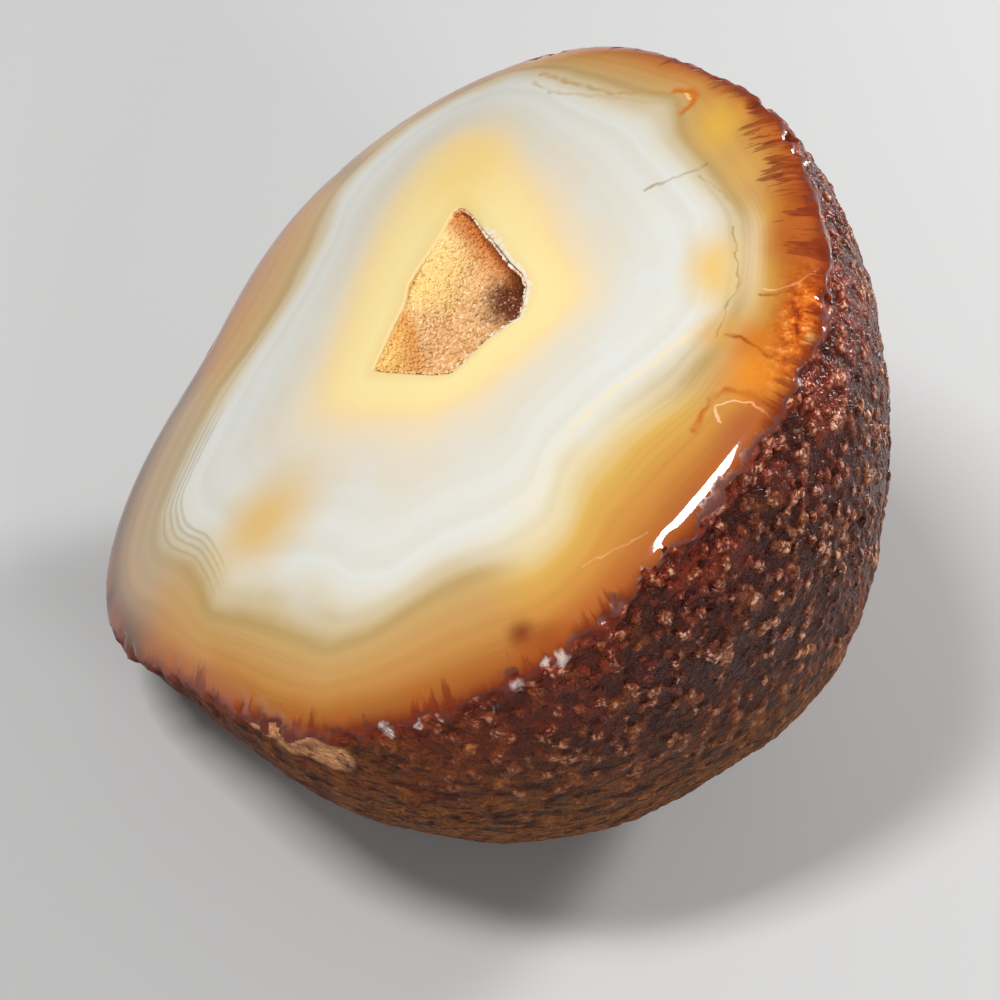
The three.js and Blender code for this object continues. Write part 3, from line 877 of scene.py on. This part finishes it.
def plume_colour(shader, flat, colour):
    """Iron-red plumes that grow inward from the rim, over a translucent orange glow."""
    rim_place = shader.attribute("rim_place", "Vector")
    inward = shader.math("MULTIPLY", shader.split(rim_place)["Z"], -1.0)
    on_rim = shader.vector("MULTIPLY", rim_place, (1.0, 1.0, 0.0))
    bent = shader.pushed(shader.vector("MULTIPLY", rim_place, (1.0, 1.0, 0.2)), 0.5, 1.3)

    glow = shader.step(inward, 3.0, -0.5)
    glow = shader.times(glow, shader.step(shader.noise(on_rim, 0.3, 3.0), 0.35, 0.62), 0.75)
    colour = shader.mix(glow, colour, srgb(*GLOW_ORANGE))
    flecks = shader.ramp(shader.noise(flat, 1.3, 4.0, 0.65), FLECK_TONES)
    flecked = shader.times(shader.step(inward, 3.6, 1.2), patch(shader, flat, *FLECKED_SIDE), 0.9)
    colour = shader.mix(flecked, colour, flecks)

    right_side = patch(shader, flat, *PLUME_SIDE)
    reach = shader.step(shader.noise(on_rim, 0.2, 2.0), 0.32, 0.68)
    reach = shader.math("MULTIPLY_ADD", reach, 1.4, 0.5)
    reach = shader.math("MULTIPLY_ADD", right_side, 4.2, reach)
    calm = shader.math("MULTIPLY_ADD", patch(shader, flat, *CALM_SIDE), -0.9, 1.0)
    reach = shader.math("MULTIPLY", reach, calm)
    for scale, strength in ((0.8, 0.7), (2.0, 0.6)):
        tongue = shader.step(shader.noise(bent, scale, 3.0, 0.6), 0.46, 0.70)
        length = shader.math("MULTIPLY", tongue, reach)
        plume = shader.step(shader.math("SUBTRACT", length, inward), -0.3, 1.0)
        colour = shader.mix(shader.times(plume, strength), colour, srgb(*PLUME_RED))
    seam = shader.step(inward, 0.8, -0.3)
    return shader.mix(shader.times(seam, 0.7), colour, srgb(*PLUME_RED))


def with_painted_glints(shader, stone_place, colour):
    """The colour with painted highlights along the lower rim: pale spots where small chips glint."""
    shaken = shader.pushed(stone_place, 1.6, 1.5, 3.0)
    for centre, size, strength in PAINTED_GLINT_SPOTS:
        glint_spot = shader.step(shader.vector("DISTANCE", shaken, centre), size, 0.2 * size)
        colour = shader.mix(shader.times(glint_spot, strength), colour, srgb(*GLINT_SPOT_PALE))
    return colour


def polished_material():
    """The glossy banded face, worn a little duller along its edge."""
    shader = Shader("polished_agate")
    flat = shader.vector("MULTIPLY", shader.attribute("face_place", "Vector"), (1.0, 1.0, 0.4))
    colour = plume_colour(shader, flat, banded_colour(shader, flat))
    stone_place = shader.attribute("stone_place", "Vector")
    crumbs = shader.math("SUBTRACT", shader.noise(stone_place, 1.6, 3.0), 0.5)
    worn = shader.step(shader.math("MULTIPLY_ADD", crumbs, 1.4, shader.attribute("wear")), -0.35, 0.15)
    colour = shader.mix(shader.times(worn, 0.9), colour, srgb(*WORN_EDGE))
    shader.put(shader.surface.inputs["Base Color"], with_painted_glints(shader, stone_place, colour))
    shader.put(shader.surface.inputs["Roughness"], shader.math("MULTIPLY_ADD", worn, 0.55, 0.05))
    shader.put(shader.surface.inputs["IOR"], 1.54)
    shader.put(shader.surface.inputs["Specular IOR Level"], 0.45)
    shader.put(shader.surface.inputs["Subsurface Weight"], 0.28)
    shader.put(shader.surface.inputs["Subsurface Radius"], (1.0, 0.55, 0.3))
    shader.put(shader.surface.inputs["Subsurface Scale"], 0.002)
    return shader.material


def rind_material():
    """The rind: glossy red-brown nubs high on the right, matt creased brown low down, with painted shade in its
    pits, between the nubs and in the creases, and painted highlights on some nubs' tops.
    """
    shader = Shader("waxy_rind")
    place = shader.attribute("stone_place", "Vector")
    edge = shader.attribute("rim_edge")
    gloss = shader.attribute("gloss")
    matt = shader.math("SUBTRACT", 1.0, gloss)
    relief = shader.attribute("relief")
    nub_tone = shader.attribute("nub_tone")
    bead, bead_tone = shader.cells(shader.pushed(place, 1.4, 1.2), 2.3)

    tone = shader.noise(place, 0.5, 6.0, 0.7)
    tone = shader.math("MULTIPLY_ADD", shader.math("SUBTRACT", nub_tone, 0.5), 0.2, tone)
    tone = shader.math("MULTIPLY_ADD", shader.math("SUBTRACT", bead_tone, 0.5), 0.12, tone)
    colour = shader.ramp(tone, RIND_TONES)
    flattened = shader.vector("MULTIPLY", place, (0.7, 0.7, 2.4))
    streaks = shader.step(shader.noise(flattened, 0.5, 4.0, 0.6), 0.36, 0.6)
    low = shader.times(shader.step(shader.split(place)["Z"], 34.0, 14.0), matt)
    colour = shader.mix(shader.times(low, streaks, 0.85), colour, srgb(*RIND_LOW))
    blotch = shader.step(shader.noise(place, 0.18, 3.0, 0.6), 0.36, 0.56)
    red = shader.times(shader.step(edge, 14.0, 0.5), blotch, shader.math("MULTIPLY_ADD", gloss, 0.45, 0.3))
    red = shader.math("MAXIMUM", red, shader.times(shader.step(edge, 2.2, 0.4), 0.75))
    colour = shader.mix(red, colour, srgb(*RIND_RED))

    # Painted shade: darker between the nubs and where the relief is low, where shade falls.
    valley_shade = shader.times(shader.step(bead, 0.45, 0.85), 0.4)
    valley_shade = shader.math("MAXIMUM", valley_shade, shader.times(shader.step(relief, 0.4, 0.0), gloss, 0.92))
    colour = shader.mix(valley_shade, colour, srgb(*RIND_PAINTED_SHADE))
    # Painted highlight: lighter tops on some glossy nubs, standing in for glints.
    crown_glint = shader.times(shader.step(relief, 0.3, 0.75), shader.step(nub_tone, 0.0, 0.6))
    crown_glint = shader.times(crown_glint, shader.step(bead, 0.6, 0.2), shader.math("MULTIPLY_ADD", gloss, 0.78, 0.1))
    colour = shader.mix(crown_glint, colour, srgb(*RIND_PAINTED_GLINT))
    # Painted shade in the creases low down; the same crease mask also sinks the bump below.
    crease = shader.times(shader.step(shader.noise(flattened, 1.0, 3.0, 0.6), 0.44, 0.36), low)
    colour = shader.mix(shader.times(crease, 0.55), colour, srgb(*RIND_PAINTED_SHADE))
    bare = shader.step(stroke(shader, place, CHIP_PLACES, CHIP_WIDTH), 0.1, 0.5)
    bare = shader.times(bare, shader.step(tone, 0.0, 0.36), 0.9)
    colour = shader.mix(bare, colour, srgb(*CHIP_COLOUR))
    shader.put(shader.surface.inputs["Base Color"], with_painted_glints(shader, place, colour))

    dull = shader.math("MULTIPLY_ADD", gloss, -0.42, 0.62)
    shader.put(shader.surface.inputs["Roughness"], shader.math("MULTIPLY_ADD", bead_tone, 0.14, dull))
    shader.put(shader.surface.inputs["IOR"], 1.54)
    shader.put(shader.surface.inputs["Specular IOR Level"], 0.18)

    height = shader.times(bead, bead, -0.35)
    height = shader.math("MULTIPLY_ADD", relief, 0.35, height)
    grain = shader.noise(place, 3.2, 3.0, 0.6)
    height = shader.math("MULTIPLY_ADD", grain, shader.math("MULTIPLY_ADD", matt, 0.12, 0.05), height)
    height = shader.math("MULTIPLY_ADD", crease, -0.3, height)
    height = shader.times(height, shader.step(shader.attribute("rough"), 0.0, 0.6))
    shader.put(shader.surface.inputs["Normal"], shader.bump(height, 0.0006))
    return shader.material


def druse_material():
    """Sugary quartz, sandy pink, with a yellow left wall that is partly painted light, a pale brim, painted
    shade along the upper right edge and deep in the right corner, and painted sparkle on a few crystals there.
    """
    shader = Shader("sugary_druse")
    place = shader.attribute("pocket_place", "Vector")
    grain = shader.attribute("grain")
    sand = shader.ramp(grain, [
        (0.00, (212, 156, 98)), (0.30, (234, 184, 124)), (0.90, (250, 210, 152)), (0.985, (255, 240, 206)),
    ])
    across, up, deep = shader.split(place)
    past_wall = shader.vector("DOT_PRODUCT", place, (*LEFT_WALL_ACROSS, 0.0))
    wander = shader.math("SUBTRACT", shader.noise(place, 0.5, 3.0), 0.5)
    high = shader.step(shader.math("MULTIPLY_ADD", wander, 2.0, up), 3.6, 7.2)
    # Partly a pale yellow tint and partly painted light on the lit upper left wall.
    lit_cream = shader.times(shader.step(past_wall, -2.2, -4.8), high, 0.85)
    sand = shader.mix(lit_cream, sand, srgb(255, 222, 144))
    # The steep left wall: partly a yellow tint, partly painted light where it is lit.
    lit_facet = shader.step(shader.math("MULTIPLY_ADD", wander, 0.6, across), -3.1, -3.9)
    lit_facet = shader.times(lit_facet, shader.math("SUBTRACT", 1.0, high), 0.9)
    lit_facet_tone = shader.mix(shader.step(across, -3.0, -6.0), srgb(226, 156, 74), srgb(252, 214, 130))
    sand = shader.mix(lit_facet, sand, lit_facet_tone)
    # The pocket's upper end: partly a pale tint, partly painted light.
    lit_top = shader.times(shader.step(up, 7.5, 12.0), shader.step(across, 1.8, 0.0))
    sand = shader.mix(shader.times(lit_top, 0.6), sand, srgb(255, 224, 160))
    speck = shader.step(shader.noise(place, 2.4, 3.0), 0.40, 0.34)
    sand = shader.mix(shader.times(speck, 0.5), sand, srgb(160, 88, 42))
    past_edge = shader.vector("DOT_PRODUCT", place, (*RIGHT_WALL_ACROSS, 0.0))
    shade = shader.step(shader.math("MULTIPLY_ADD", wander, 2.4, past_edge), 4.7, 7.5)
    sand = shader.mix(shader.times(shade, 0.8), sand, srgb(212, 116, 28))
    # Painted shade deep in the right corner under the overhang, lifted on a few crystals as painted sparkle.
    from_corner = shader.vector("DISTANCE", shader.vector("MULTIPLY", place, (1.0, 1.0, 0.0)), SHADED_CORNER)
    corner = shader.step(shader.math("MULTIPLY_ADD", wander, 2.4, from_corner), 3.4, 1.1)
    painted_sparkle = shader.math("MULTIPLY_ADD", shader.step(grain, 0.7, 0.95), -0.4, 1.0)
    sand = shader.mix(shader.times(corner, painted_sparkle, 0.95), sand, srgb(104, 40, 12))
    ragged = shader.math("MULTIPLY_ADD", shader.noise(place, 0.9, 3.0), 1.0, deep)
    brim = shader.times(shader.step(ragged, 0.0, 0.4), shader.step(across, 0.0, 3.0))
    sand = shader.mix(brim, sand, srgb(255, 244, 224))
    shader.put(shader.surface.inputs["Base Color"], sand)
    shader.put(shader.surface.inputs["Roughness"], 0.35)
    shader.put(shader.surface.inputs["IOR"], 1.54)
    shader.put(shader.surface.inputs["Specular IOR Level"], 0.25)
    return shader.material


def floor_material():
    shader = Shader("pale_floor")
    shader.put(shader.surface.inputs["Base Color"], srgb(182, 182, 182))
    shader.put(shader.surface.inputs["Roughness"], 0.8)
    return shader.material


def stage_floor():
    """A plain floor that curves up behind the stone, out of sight."""
    width = 2400
    front, bend, radius, height = -1200, 800, 300, 900
    profile = [(front, 0), (0, 0), (bend, 0)]
    for step in range(1, 13):
        turn = step / 12 * math.pi / 2
        profile.append((bend + radius * math.sin(turn), radius * (1 - math.cos(turn))))
    profile.append((bend + radius, height))
    points = []
    for y, z in profile:
        points.append((-width / 2, y, z))
        points.append((width / 2, y, z))
    faces = [(2 * i, 2 * i + 1, 2 * i + 3, 2 * i + 2) for i in range(len(profile) - 1)]
    floor = mesh_object("studio_floor", np.array(points, float), faces)
    floor.data.materials.append(floor_material())


def area_light(name, place, target, size, power):
    """A rectangular light in millimetres."""
    light = bpy.data.lights.new(name, "AREA")
    light.shape = "RECTANGLE"
    light.size, light.size_y = size[0] * MM, size[1] * MM
    light.energy = power
    lamp = bpy.data.objects.new(name, light)
    lamp.location = Vector(place) * MM
    lamp.rotation_euler = (Vector(target) - Vector(place)).to_track_quat("-Z", "Y").to_euler()
    bpy.context.scene.collection.objects.link(lamp)


def studio_lights():
    """A soft key from above on the left, and a lower light at the back right for the rind's glints."""
    world = bpy.data.worlds.new("studio")
    world.use_nodes = True
    background = world.node_tree.nodes["Background"]
    background.inputs["Color"].default_value = (1.0, 0.98, 0.95, 1.0)
    background.inputs["Strength"].default_value = 0.2
    bpy.context.scene.world = world
    area_light("key", (-185, -98, 551), (0, 0, 25), (85, 165), 2.65)
    area_light("glint", (350, 240, 165), (20, 0, 30), (90, 90), 2.4)
    area_light("fill", (260, -420, 260), (0, 0, 20), (120, 120), 0.9)


def camera():
    data = bpy.data.cameras.new("camera")
    data.lens = CAMERA_LENS
    data.sensor_width = 36
    data.clip_start = 0.01
    eye = bpy.data.objects.new("camera", data)
    eye.location = Vector(CAMERA_PLACE) * MM
    eye.rotation_euler = (math.radians(90 - CAMERA_ELEVATION), 0, 0)
    bpy.context.scene.collection.objects.link(eye)
    bpy.context.scene.camera = eye


camera()
polish, upper_rind, lower_rind = nodule()
rind_look = rind_material()
for piece, look in ((polish, polished_material()), (upper_rind, rind_look), (lower_rind, rind_look)):
    piece.data.materials.append(look)
    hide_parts("agate_nodule")
    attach(piece, "root")
crystals = druse()
crystals.data.materials.append(druse_material())
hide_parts("druse_crust")
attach(crystals, "root")
stage_floor()
studio_lights()
bpy.context.scene.view_settings.view_transform = "Standard"
